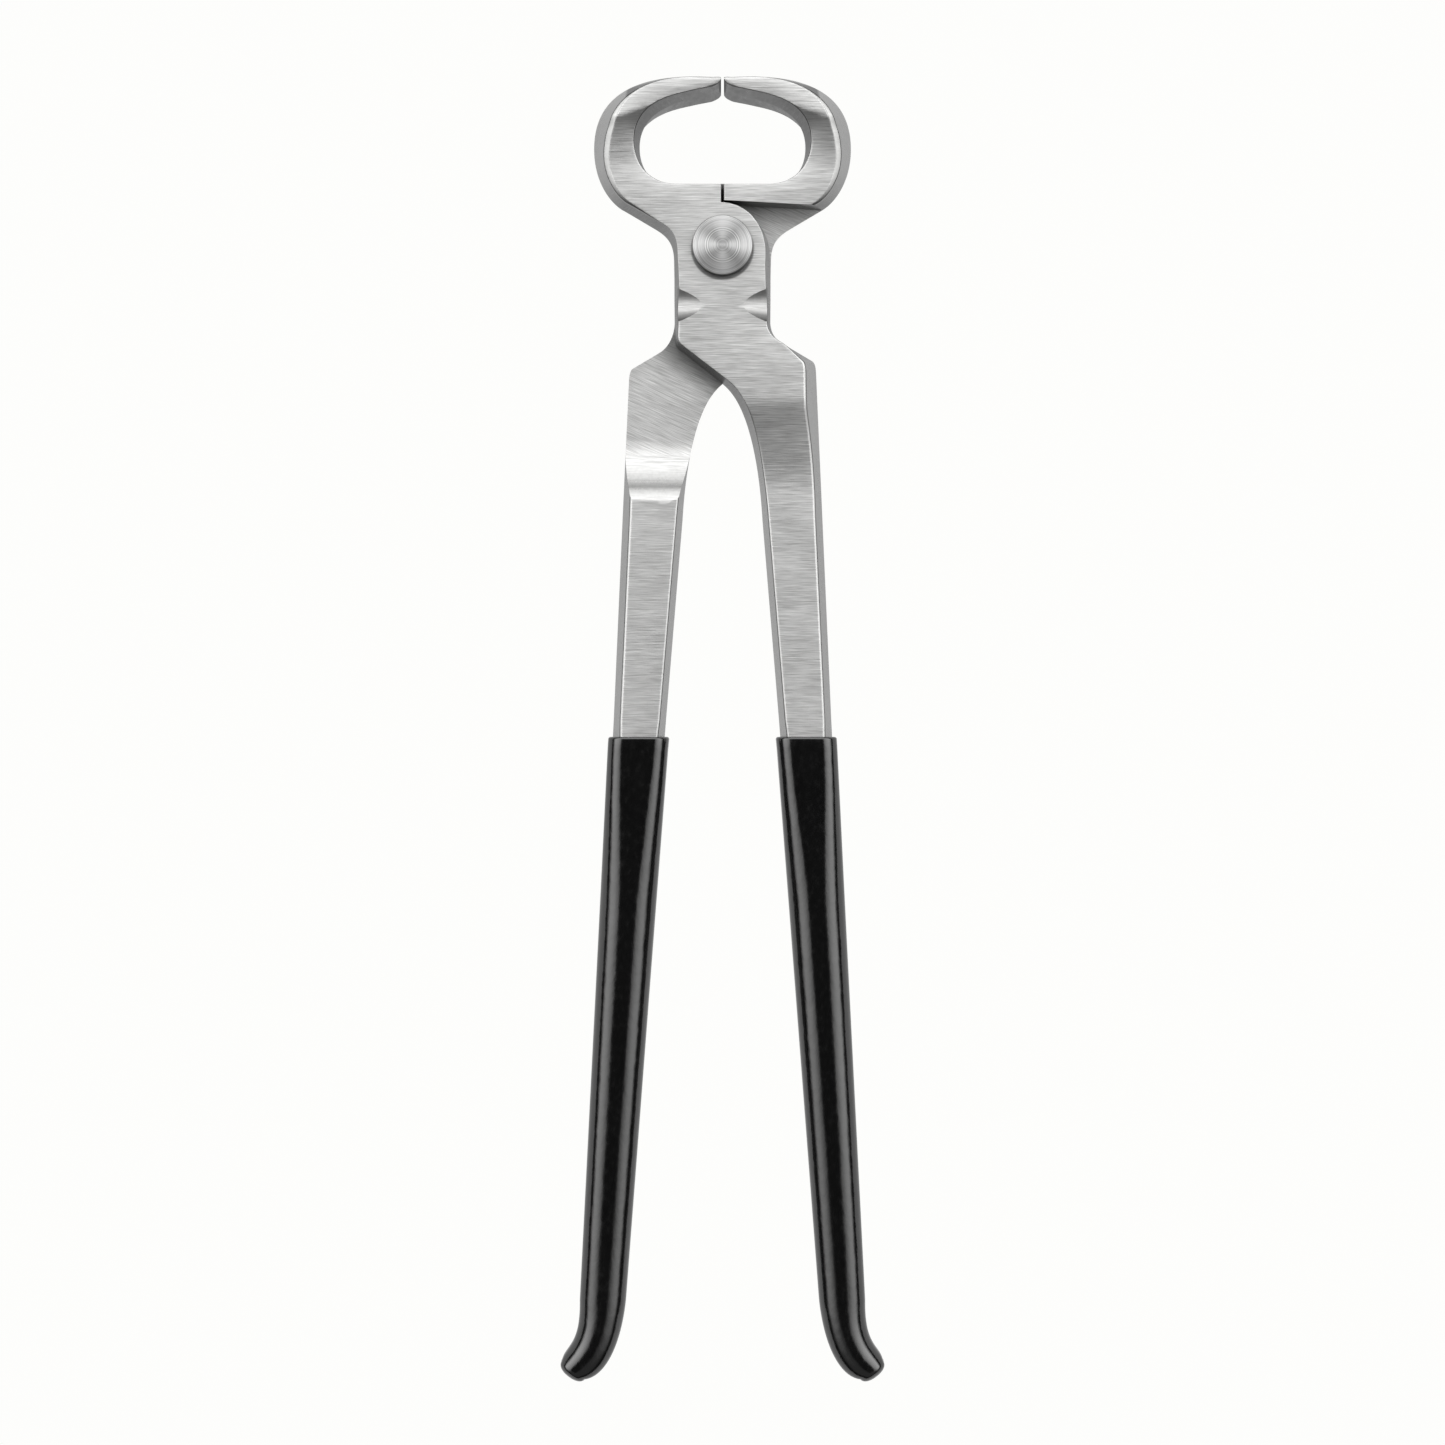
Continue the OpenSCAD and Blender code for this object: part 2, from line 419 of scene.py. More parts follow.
def node(
    tree: bpy.types.NodeTree,
    kind: str,
    settings: dict[str, Any],
    values: dict[Union[str, int], Any],
    output: Union[str, int] = 0,
) -> Wire:
    """Adds a node to a tree.

    Args:
        tree: the node tree.
        kind: the node's type.
        settings: its properties, which are set first.
        values: numbers or wires for its sockets, by name or place.
        output: the output socket that is wanted.

    Returns:
        That output as a wire.
    """
    made = tree.nodes.new(kind)
    for name, value in settings.items():
        setattr(made, name, value)
    for place, value in values.items():
        if isinstance(value, Wire):
            tree.links.new(value.socket, made.inputs[place])
        else:
            made.inputs[place].default_value = value
    return Wire(tree, made.outputs[output])


def weighed(weights: Weights, *values: Wire) -> Wire:
    """A sum of values by weight.

    Args:
        weights: a weight for each value, and last what is added to them all.
        values: the values.

    Returns:
        The sum.
    """
    total = values[0] * weights[0]
    for value, weight in zip(values[1:], weights[1:]):
        total = total + value * weight
    return total + weights[-1]


class Finish:
    """What the finishes share: their tree, their coordinates and their closing shader."""

    slot: Slot

    def start(self, name: str) -> bpy.types.Material:
        """A new material with an empty tree."""
        made = bpy.data.materials.new(name)
        made.use_nodes = True
        made.node_tree.nodes.clear()
        return made

    @staticmethod
    def place(tree: bpy.types.NodeTree) -> Wire:
        """The object's own coordinates, in metres."""
        return node(tree, "ShaderNodeTexCoord", {}, {}, "Object")

    @staticmethod
    def axes(tree: bpy.types.NodeTree, vector: Wire) -> tuple[Wire, Wire, Wire]:
        """The three components of a vector."""
        split = node(tree, "ShaderNodeSeparateXYZ", {}, {0: vector}).socket.node
        return tuple(Wire(tree, split.outputs[i]) for i in range(3))

    @staticmethod
    def grain(tree: bpy.types.NodeTree, place: Wire, size: Sizes, turn: float = 0.0,
              detail: float = 2.0, rough: float = 0.55) -> Wire:
        """A noise value whose grains are about size millimetres along each axis.

        Args:
            tree: the node tree.
            place: the coordinates it lies on.
            size: length of a grain along X, Y and Z.
            turn: how far the grain is turned about Z, in degrees.
            detail: how many finer layers it has.
            rough: how strong each finer layer is beside the one before it.

        Returns:
            A value round 0.5.
        """
        turned = node(tree, "ShaderNodeVectorRotate", {"rotation_type": "Z_AXIS"},
                      {"Vector": place, "Angle": math.radians(turn)})
        scaled = node(tree, "ShaderNodeVectorMath", {"operation": "MULTIPLY"},
                      {0: turned, 1: tuple(1 / (MM * length) for length in size)})
        return node(tree, "ShaderNodeTexNoise", {"noise_dimensions": "3D"},
                    {"Vector": scaled, "Scale": 1.0, "Detail": detail, "Roughness": rough}, 0)

    @staticmethod
    def tint(tree: bpy.types.NodeTree, share: Number, low: Shade, high: Shade) -> Wire:
        """A colour between two, by share."""
        ends = [end if isinstance(end, Wire) else (*end, 1.0) for end in (low, high)]
        return node(tree, "ShaderNodeMix", {"data_type": "RGBA"}, {0: share, 6: ends[0], 7: ends[1]}, 2)

    @staticmethod
    def bump(tree: bpy.types.NodeTree, height: Wire, depth: float) -> Wire:
        """A bumped normal from a height between 0 and 1, where 1 stands depth millimetres out."""
        return node(tree, "ShaderNodeBump", {}, {"Height": height, "Distance": depth * MM, "Strength": 1.0})

    @staticmethod
    def close(tree: bpy.types.NodeTree, values: dict[str, Any]) -> None:
        """Ends the tree in a Principled shader with these values."""
        shader = node(tree, "ShaderNodeBsdfPrincipled", {}, values)
        end = tree.nodes.new("ShaderNodeOutputMaterial")
        tree.links.new(shader.socket, end.inputs["Surface"])


@dataclass(frozen=True)
class Spot:
    """Where a point of a forging lies and how its surface stands there.

    Attributes:
        x: its place across the tool, in metres.
        y: its place along the tool.
        aside: its distance from the tool's middle.
        tilt: upright share of its normal, 0 on a wall and 1 on a level face.
        toward: share of its normal that points past the cutting edges.
        on_face: 1 on the ground faces.
        on_lap: 1 on the faces of the lap.
    """

    x: Wire
    y: Wire
    aside: Wire
    tilt: Wire
    toward: Wire
    on_face: Wire
    on_lap: Wire


@dataclass(frozen=True)
class ForgedSteel(Finish):
    """Forged steel, belt ground across its faces and left duller on its drafted sides.

    The belt runs across the tool on the outer faces, and askew on the faces of the lap. Each pair
    of values is the range in which a mask rises or falls: as tilts of the surface where its name
    ends in tilt, and in millimetres otherwise. Most masks place painted shade, and a depth is how
    far a place with that painted shade goes towards the shadow colour.

    Attributes:
        dark: the ground faces at their darkest.
        light: the ground faces at their brightest.
        side_dark: the drafted sides at their darkest.
        side: the drafted sides at their brightest.
        shadow: the colour that places with painted shade go towards.
        belt: length of the belt's marks along each axis.
        scratch: length of the fine scratches.
        cloud: length of the slow unevenness.
        speck: length of the pitting.
        lap_turn: how far askew the belt runs on the lap, in degrees.
        face_tone: weights of the belt's marks, scratches and unevenness in the faces' tone, and what
            is added.
        side_tone: weights of the pitting and unevenness in the sides' tone, and what is added.
        uneven: weights of the belt's marks, unevenness and pitting in the roughness, and what is
            added.
        face_relief: weights of the belt's marks and scratches in the faces' relief, and what is added.
        side_relief: weight of the pitting in the sides' relief.
        edge_way: the direction across the edge that the other half's lap ends in.
        edge_from: how far that edge lies from the pivot.
    """

    dark: Colour = (0.50, 0.50, 0.495)
    light: Colour = (0.92, 0.92, 0.915)
    side_dark: Colour = (0.44, 0.44, 0.435)
    side: Colour = (0.58, 0.58, 0.575)
    shadow: Colour = (0.05, 0.05, 0.05)
    belt: Sizes = (11.0, 0.31, 6.0)
    scratch: Sizes = (5.0, 0.16, 2.0)
    cloud: Sizes = (16.0, 9.0, 9.0)
    speck: Sizes = (0.9, 0.9, 0.9)
    lap_turn: float = 24.0
    roughness: float = 0.44
    side_roughness: float = 0.30
    scoop_roughness: float = 0.16
    relief: float = 0.03
    face_tone: Weights = (1.1, 2.0, 0.5, -1.32)
    side_tone: Weights = (1.2, 0.6, -0.4)
    uneven: Weights = (0.16, 0.10, 0.06, -0.16)
    face_relief: Weights = (0.6, 0.4, 0.0)
    side_relief: float = 0.3
    face_tilt: Point = (0.86, 0.97)
    lap_height: Point = (0.2, 0.6)
    # Painted shade: a dark line where each edge turns from its side into its face.
    turn_in_tilt: Point = (0.42, 0.60)
    turn_out_tilt: Point = (0.74, 0.90)
    turn_depth: float = 0.55
    # Painted shade on the steep walls, and deeper shade in the mouth.
    steep_tilt: Point = (0.10, 0.28)
    steep_depth: float = 0.78
    mouth_tilt: Point = (0.55, 0.90)
    mouth_side: Point = (25.5, 26.5)
    mouth_low: Point = (16.2, 16.6)
    mouth_high: Point = (44.2, 45.0)
    mouth_depth: float = 0.97
    # Painted shade on the sloping face of the flare towards the jaws.
    rise_tilt: Point = (0.935, 0.985)
    rise_low: Point = (18.0, 24.0)
    rise_depth: float = 0.60
    scoop_tilt: Point = (0.96, 0.99)
    scoop_inner: Point = (4.8, 5.2)
    scoop_outer: Point = (12.0, 12.4)
    scoop_low: Point = (-21.5, -21.0)
    scoop_high: Point = (-11.3, -10.8)
    # Painted shade on the scoops' flanks that face the cutting edges.
    scoop_flank: Point = (0.10, 0.45)
    scoop_depth: float = 0.55
    # Painted shadow on the walls of the gap between the ends of the bars.
    gap_tilt: Point = (0.6, 0.9)
    gap_side: Point = (0.7, 1.1)
    gap_low: Point = (11.0, 12.0)
    gap_high: Point = (18.0, 18.5)
    # Painted shadow on the face round the foot of the rivet's head.
    painted_head_shadow_drop: float = 0.75
    painted_head_shadow: Point = (8.2, 8.75)
    painted_head_shadow_depth: float = 0.65
    edge_way: Point = (-0.623, -0.782)
    edge_from: float = -28.47
    # Painted shade on the lap beside the other half's edge and its bar.
    painted_lap_shade_run: Point = (-0.5, 7.0)
    painted_lap_shade_low: Point = (-48.0, -30.0)
    painted_lap_shade_high: Point = (-24.0, -18.0)
    painted_lap_shade_bar: Point = (10.4, 12.6)
    painted_lap_shade_depth: float = 0.62
    slot: Slot = Slot.FORGED

    def spot(self, tree: bpy.types.NodeTree, place: Wire, lap_height: float) -> Spot:
        """Where the shaded point lies on the forging whose lap is at this height, in metres."""
        _, toward, lift = self.axes(tree, node(tree, "ShaderNodeNewGeometry", {}, {}, "Normal"))
        x, y, height = self.axes(tree, place)
        tilt = lift.math("ABSOLUTE")
        off_lap = (height - lap_height).math("ABSOLUTE")
        on_lap = off_lap.fall(self.lap_height[0] * MM, self.lap_height[1] * MM)
        return Spot(x, y, x.math("ABSOLUTE"), tilt, toward, tilt.step(*self.face_tilt), on_lap)

    def marks(self, tree: bpy.types.NodeTree, place: Wire, size: Sizes, spot: Spot) -> Wire:
        """Marks of one size, which run across the faces and askew on the lap."""
        across = self.grain(tree, place, size)
        askew = self.grain(tree, place, size, turn=self.lap_turn)
        return across + (askew - across) * spot.on_lap

    def in_scoop(self, spot: Spot) -> Wire:
        """1 in the hollows of the thumb scoops."""
        across = spot.aside.between(self.scoop_inner, self.scoop_outer)
        return across * spot.y.between(self.scoop_low, self.scoop_high) * spot.tilt.fall(*self.scoop_tilt)

    def walls(self, spot: Spot) -> Wire:
        """Painted shade on the steep walls, deepest in the mouth."""
        mouth = spot.aside.fall(self.mouth_side[0] * MM, self.mouth_side[1] * MM)
        mouth = mouth * spot.tilt.fall(*self.mouth_tilt) * spot.y.between(self.mouth_low, self.mouth_high)
        return (spot.tilt.fall(*self.steep_tilt) * self.steep_depth).math("MAXIMUM", mouth * self.mouth_depth)

    def gap(self, spot: Spot) -> Wire:
        """1 in the narrow gap between the ends of the two bars, whose walls are painted with shadow."""
        middle = spot.aside.fall(self.gap_side[0] * MM, self.gap_side[1] * MM)
        return middle * spot.y.between(self.gap_low, self.gap_high) * spot.tilt.fall(*self.gap_tilt)

    def under_head(self, spot: Spot) -> Wire:
        """Painted shadow on the outer face round the foot of the rivet's head, as a depth."""
        down = spot.y + self.painted_head_shadow_drop * MM
        reach = (spot.x * spot.x + down * down).math("SQRT")
        near = reach.fall(self.painted_head_shadow[0] * MM, self.painted_head_shadow[1] * MM)
        return near * spot.on_face * (1.0 - spot.on_lap) * self.painted_head_shadow_depth

    def painted_lap_shade(self, spot: Spot, hand: int) -> Wire:
        """How far painted shade darkens the lap beside the other half's edge and its bar."""
        edge = spot.x * (hand * self.edge_way[0]) + spot.y * self.edge_way[1] + self.edge_from * MM
        beside = edge.fall(self.painted_lap_shade_run[0] * MM, self.painted_lap_shade_run[1] * MM)
        beside = beside * spot.y.between(self.painted_lap_shade_low, self.painted_lap_shade_high)
        bar = spot.y.step(self.painted_lap_shade_bar[0] * MM, self.painted_lap_shade_bar[1] * MM)
        return (beside + bar) * spot.on_lap * spot.on_face * self.painted_lap_shade_depth

    def shade(self, spot: Spot, in_scoop: Wire, hand: int) -> Wire:
        """How far painted shade takes a place towards the shadow colour."""
        # Painted shade: a dark line where each edge turns from its side into its face.
        painted_edge_shade = spot.tilt.step(*self.turn_in_tilt) * spot.tilt.fall(*self.turn_out_tilt)
        # Painted shade on the sloping face of the flare towards the jaws.
        rise = spot.tilt.fall(*self.rise_tilt) * spot.on_face
        rise = rise * spot.y.step(self.rise_low[0] * MM, self.rise_low[1] * MM)
        # Painted shade on the scoops' flanks that face the cutting edges.
        flank = in_scoop * spot.toward.step(*self.scoop_flank)
        return (
            painted_edge_shade * (1.0 - in_scoop) * self.turn_depth + self.walls(spot) + self.gap(spot)
            + self.under_head(spot) + rise * self.rise_depth + flank * self.scoop_depth
            + self.painted_lap_shade(spot, hand)
        ).clamped()

    def make(self, name: str, lap_height: float, hand: int) -> bpy.types.Material:
        """The material.

        Args:
            name: its name.
            lap_height: height of the plane where the halves meet, in metres.
            hand: 1 where the lap faces up and -1 where it faces down.

        Returns:
            The material.
        """
        made = self.start(name)
        tree = made.node_tree
        place = self.place(tree)
        spot = self.spot(tree, place, lap_height)
        belt = self.marks(tree, place, self.belt, spot)
        fine = self.marks(tree, place, self.scratch, spot)
        cloud = self.grain(tree, place, self.cloud, detail=3.0)
        speck = self.grain(tree, place, self.speck, detail=3.0)
        ground = weighed(self.face_tone, belt, fine, cloud)
        rubbed = weighed(self.side_tone, speck, cloud)
        tone = (rubbed + (ground - rubbed) * spot.on_face).clamped()
        faces = self.tint(tree, tone, self.dark, self.light)
        sides = self.tint(tree, tone, self.side_dark, self.side)
        in_scoop = self.in_scoop(spot)
        plain = self.tint(tree, spot.on_face, sides, faces)
        smoothness = self.side_roughness + spot.on_face * (self.roughness - self.side_roughness)
        uneven = weighed(self.uneven, belt, cloud, speck)
        relief = weighed(self.face_relief, belt, fine) * spot.on_face
        relief = relief + speck * self.side_relief * (1.0 - spot.on_face)
        self.close(tree, {
            "Base Color": self.tint(tree, self.shade(spot, in_scoop, hand), plain, self.shadow),
            "Metallic": 1.0,
            "Roughness": smoothness + uneven + in_scoop * self.scoop_roughness,
            "Normal": self.bump(tree, relief, self.relief),
        })
        return made


@dataclass(frozen=True)
class TurnedSteel(Finish):
    """Steel faced off in a lathe, with fine rings about the pivot's axis.

    Attributes:
        dark: the face at its darkest.
        light: the face at its brightest.
        rim: the head's rounded edge, painted dark as shade.
        pitch: how far apart the rings are, in millimetres.
        cloud: length of the slow unevenness along each axis.
        rays: how many painted highlight rays go round the axis, like those the finest rings throw.
        ray_start: radii between which the painted rays begin, in millimetres.
        ray_strength: how much the painted rays add to the tone.
        waists: how many broad bands of painted light and shade go round the axis.
        waist_strength: how much those painted bands darken the sides and lighten the top and bottom.
        rim_tilt: tilts between which the painted shade of the edge gives way to the face.
        tones: weights of the rings and the unevenness in the tone, and what is added.
        uneven: weights of the same two in the roughness, and what is added.
        anisotropy: how far the rings stretch a highlight.
        anisotropy_turn: which way they stretch it, in turns.
    """

    dark: Colour = (0.34, 0.34, 0.34)
    light: Colour = (0.95, 0.95, 0.95)
    rim: Colour = (0.13, 0.13, 0.13)
    pitch: float = 0.30
    cloud: Sizes = (5.0, 5.0, 5.0)
    rays: float = 4.0
    ray_start: Point = (0.4, 3.0)
    ray_strength: float = 0.26
    waists: float = 2.0
    waist_strength: float = 0.07
    rim_tilt: Point = (0.30, 0.92)
    roughness: float = 0.36
    relief: float = 0.010
    tones: Weights = (1.5, 0.4, -0.45)
    uneven: Weights = (0.12, 0.06, -0.09)
    anisotropy: float = 0.9
    anisotropy_turn: float = 0.25
    slot: Slot = Slot.TURNED

    def make(self, name: str) -> bpy.types.Material:
        """The material."""
        made = self.start(name)
        tree = made.node_tree
        place = self.place(tree)
        x, y, _ = self.axes(tree, place)
        tilt = self.axes(tree, node(tree, "ShaderNodeNewGeometry", {}, {}, "Normal"))[2].math("ABSOLUTE")
        radius, around = (x * x + y * y).math("SQRT"), y.math("ARCTAN2", x)
        rings = node(
            tree, "ShaderNodeTexNoise", {"noise_dimensions": "1D"},
            {"W": radius / (self.pitch * MM), "Scale": 1.0, "Detail": 2.0}, 0,
        )
        cloud = self.grain(tree, place, self.cloud)
        # Painted highlight: bright rays round the axis, with darker parts between them.
        rays = (around * self.rays).math("COSINE")
        rays = rays * radius.step(self.ray_start[0] * MM, self.ray_start[1] * MM)
        # Painted light and shade: lighter above and below the axis, darker beside it.
        waist = (around * self.waists).math("COSINE")
        tone = weighed(self.tones, rings, cloud)
        tone = tone + rays * self.ray_strength - waist * self.waist_strength
        faced = self.tint(tree, tone.clamped(), self.dark, self.light)
        self.close(tree, {
            # Painted shade: the head's rounded edge is coloured dark all round.
            "Base Color": self.tint(tree, tilt.step(*self.rim_tilt), self.rim, faced),
            "Metallic": 1.0,
            "Roughness": weighed(self.uneven, rings, cloud) + self.roughness,
            "Anisotropic": self.anisotropy,
            "Anisotropic Rotation": self.anisotropy_turn,
            "Normal": self.bump(tree, rings, self.relief),
        })
        return made


@dataclass(frozen=True)
class DippedVinyl(Finish):
    """Black vinyl from a dip: glossy, with a slow waviness and the dust that it picks up.

    Attributes:
        black: the clean vinyl.
        dust: the vinyl where dust lies on it.
        dusty: range of the film's strength in which dust shows.
        wave: length of the slow waves along each axis.
        film: length of the patches of dust.
        index: its index of refraction, raised for the wet look of a thick dip.
        uneven: weights of the film and the waves in the roughness, and what is added.
        waviness: weights of the waves and the film in the relief, and what is added.
    """

    black: Colour = (0.0016, 0.0016, 0.0017)
    dust: Colour = (0.006, 0.006, 0.006)
    dusty: Point = (0.52, 0.78)
    wave: Sizes = (5.0, 9.0, 5.0)
    film: Sizes = (1.2, 2.0, 1.2)
    roughness: float = 0.15
    index: float = 2.0
    relief: float = 0.13
    uneven: Weights = (0.10, 0.04, -0.07)
    waviness: Weights = (0.75, 0.25, 0.0)
    slot: Slot = Slot.VINYL

    def make(self, name: str) -> bpy.types.Material:
        """The material."""
        made = self.start(name)
        tree = made.node_tree
        place = self.place(tree)
        wave = self.grain(tree, place, self.wave)
        film = self.grain(tree, place, self.film, detail=4.0)
        self.close(tree, {
            "Base Color": self.tint(tree, film.step(*self.dusty), self.black, self.dust),
            "Roughness": weighed(self.uneven, film, wave) + self.roughness,
            "IOR": self.index,
            "Normal": self.bump(tree, weighed(self.waviness, wave, film), self.relief),
        })
        return made


# ---------------------------------------------------------------- the forged halves


@dataclass(frozen=True)
class Stretch:
    """A stretch of a forging between the curves of its two sides.

    Attributes:
        back: the side that starts on the back of the jaw.
        inner: the side that starts in the mouth.
        steps: how many sections it takes.
        drafts: how far each side leans in at its start, as a share of the half depth.
        bevels: how wide the bevels of its two edges are at its start.
        late: shares of its length before its drafts and its bevels begin to change, if not evenly.
    """

    back: Curve
    inner: Curve
    steps: int
    drafts: Point
    bevels: Point
    late: Optional[Point] = None


@dataclass(frozen=True)
class Station:
    """One section's place: its two ends in plan, and its drafts and bevels there."""

    back: Vector
    inner: Vector
    drafts: Point
    bevels: Point


@dataclass
class Forging:
    """The plan and the depth that both halves share, front way round."""

    shoulder: float = -30.6
    jaw_x: float = 35.0
    jaw_reach: float = 47.2
    jaw_half: float = 12.5
    joint_half: float = 10.0
    rein_half: float = 6.0
    heel_half: float = 4.8
    mouth_x: float = 22.6
    mouth_floor: float = 16.9
    edge_x: float = 0.4
    edge_y: float = 44.4
    bar_x: float = 0.17
    boss: float = 12.1
    boss_end: float = 45.0
    neck_x: float = 13.0
    crease_turn: float = 18.0
    crease_at: float = 41.8
    flare_run: float = 14.0
    neck_end: float = -34.0
    face_crease: float = -43.0
    face_end: float = -68.0
    crease_soft: float = 0.3
    grip_start: float = -132.6
    heel_start: float = -286.0
    land: float = 0.35
    crown: float = 0.10
    bevel_share: float = 0.6
    bevel_drop: float = 0.55
    bevel_ease: float = 0.7
    land_ease: float = 0.2
    wall_points: tuple[float, ...] = (0.05, 0.5, 0.95)
    face_points: tuple[float, ...] = (0.04, 0.2, 0.35, 0.5, 0.65, 0.8, 0.96)

    def depth(self, at: Vector) -> float:
        """Half the forging's depth at a point of its plan."""
        if at.y > self.neck_end:
            turn = math.radians(self.crease_turn)
            run = at.y * math.cos(turn) - at.x * math.sin(turn) - self.crease_at + self.flare_run
            rise = self.jaw_half - self.joint_half
            return self.joint_half + arc_rise(min(max(run, 0.0), self.flare_run), self.flare_run, rise)
        if at.y >= self.face_end:
            return self.creased(at.y)
        share = (self.grip_start - at.y) / (self.grip_start - self.heel_start)
        return mixed(self.rein_half, self.heel_half, min(1.0, max(0.0, share)))

    def creased(self, y: float) -> float:
        """Half the depth where the flat of the joint bends softly down into the rein."""
        run = self.face_crease - self.face_end
        rein = self.rein_half + arc_rise(y - self.face_end, run, self.joint_half - self.rein_half)
        soft = self.crease_soft
        return -soft * math.log(math.exp(-rein / soft) + math.exp(-self.joint_half / soft))

    def stretches(self) -> list[Stretch]:
        """The forging from its cutting edge to the foot of its rein."""
        low = self.shoulder
        neck = self.neck_x
        arc = round_bend(self.boss, 90 + math.degrees(math.asin(self.bar_x / self.boss)), self.boss_end)
        return [
            Stretch([(-self.edge_x, self.jaw_reach - 0.4), (-self.edge_x, self.jaw_reach - 0.1),
                     (-0.8, self.jaw_reach), (-2, self.jaw_reach)],
                    [(-self.edge_x, self.edge_y), (-0.7, 43.7), (-1.6, 43.1), (-3, 42.6)],
                    6, (0.15, 0), (0.15, 0.15)),
            Stretch([(-2, self.jaw_reach), (-20, self.jaw_reach + 1.19),
                     (-self.jaw_x, 44.5), (-self.jaw_x, 27.5)],
                    [(-3, 42.6), (-12.2, 40.9), (-self.mouth_x, 38.2), (-self.mouth_x, 28)],
                    56, (0.18, 0), (0.15, 0.15), late=(0.0, 0.36)),
            Stretch([(-self.jaw_x, 27.5), (-self.jaw_x, 19.5), (-31.3, 13.6), (-27.4, 11.1)],
                    [(-self.mouth_x, 28), (-self.mouth_x, 21.5), (-18.5, self.mouth_floor),
                     (-12, self.mouth_floor)],
                    36, (0.43, 0.16), (1.7, 0.35)),
            Stretch(straight((-27.4, 11.1), (-18.1, 5.6)),
                    straight((-12, self.mouth_floor), (-self.bar_x, self.mouth_floor)),
                    14, (0.24, 0.045), (0.9, 0.12)),
            Stretch([(-18.1, 5.6), (-14.6, 3.5), (-13.4, 1.5), (-neck - 0.2, -2.6)],
                    straight((-self.bar_x, self.mouth_floor), (-self.bar_x, self.boss)),
                    14, (0.16, 0.045), (0.15, 0.12)),
            Stretch(straight((-neck - 0.2, -2.6), (-neck - 0.1, -8)), arc,
                    20, (0.17, 0.05), (0.12, 0.12)),
            Stretch(straight((-neck - 0.1, -8), (-neck - 0.1, -13)),
                    [arc[3], (10.5, 6.6), (neck + 0.3, 3.4), (neck, -4)],
                    16, (0.17, 0.08), (0.12, 0.12)),
            Stretch(straight((-neck - 0.1, -13), (-neck, -24.4)),
                    straight((neck, -4), (neck, -19)),
                    14, (0.17, 0.17), (0.12, 0.12)),
            Stretch([(-neck, -24.4), (-neck, -25.6), (-12.7, -26.3), (-11.8, -27)],
                    [(neck, -19), (neck, -22.8), (14.4, low + 6.2), (17.5, low + 4.5)],
                    10, (0.13, 0.13), (0.4, 0.2)),
            Stretch(straight((-11.8, -27), (0, -36.4)),
                    straight((17.5, low + 4.5), (24.4, low + 0.4)),
                    10, (0.13, 0.15), (0.25, 0.25)),
            Stretch([(0, -36.4), (1.6, -37.7), (3, -39.4), (4.2, -41.6)],
                    [(24.4, low + 0.4), (25.1, low), (25.4, low - 1), (25.5, low - 2.8)],
                    10, (0.14, 0.33), (0.2, 0.55)),
            Stretch([(4.2, -41.6), (7.4, -47.5), (10, -58), (10.9, -73.5)],
                    straight((25.5, low - 2.8), (27.25, -73.5)),
                    34, (0.16, 0.38), (0.25, 0.75)),
            Stretch(straight((10.9, -73.5), (15.4, -128)), straight((27.25, -73.5), (29.65, -128)),
                    20, (0.33, 0.42), (0.5, 0.6)),
            Stretch(straight((15.4, -128), (20.15, -190)), straight((29.65, -128), (32.81, -190)),
                    24, (0.34, 0.40), (0.55, 0.6)),
            Stretch(straight((20.15, -190), (27.5, -286)), straight((32.81, -190), (37.7, -286)),
                    30, (0.84, 0.84), (0.6, 0.6)),
            Stretch([(27.5, -286), (28.5, -296.4), (32.4, -306.4), (38.4, -306.6)],
                    [(37.7, -286), (37.5, -298.6), (41.7, -299.2), (42.8, -303.2)],
                    30, (0.70, 0.70), (0.6, 0.6)),
        ]

    def stations(self) -> list[Station]:
        """The places of all the sections, in order."""
        parts = self.stretches()
        found = []
        for i, part in enumerate(parts):
            after = parts[min(i + 1, len(parts) - 1)]
            last = i == len(parts) - 1
            for k in range(part.steps + last):
                t = k / part.steps
                lean, ease = (t if part.late is None else smooth(late, 1, t) for late in part.late or (0, 0))
                found.append(Station(
                    along(part.back, t), along(part.inner, t),
                    tuple(mixed(a, b, lean) for a, b in zip(part.drafts, after.drafts)),
                    tuple(mixed(a, b, ease) for a, b in zip(part.bevels, after.bevels)),
                ))
        return found

    def land_corner(self, across: float, side: int, between: tuple[float, ...] = ()) -> Corner:
        """A corner of the narrow upright land where a section is widest."""
        return Corner(Vector((across, side * self.land)), self.land_ease, 2, between)

    def bevel_corner(self, across: float, height: float, between: tuple[float, ...] = ()) -> Corner:
        """A corner of a bevel between a side and a face."""
        return Corner(Vector((across, height)), self.bevel_ease, 4, between)

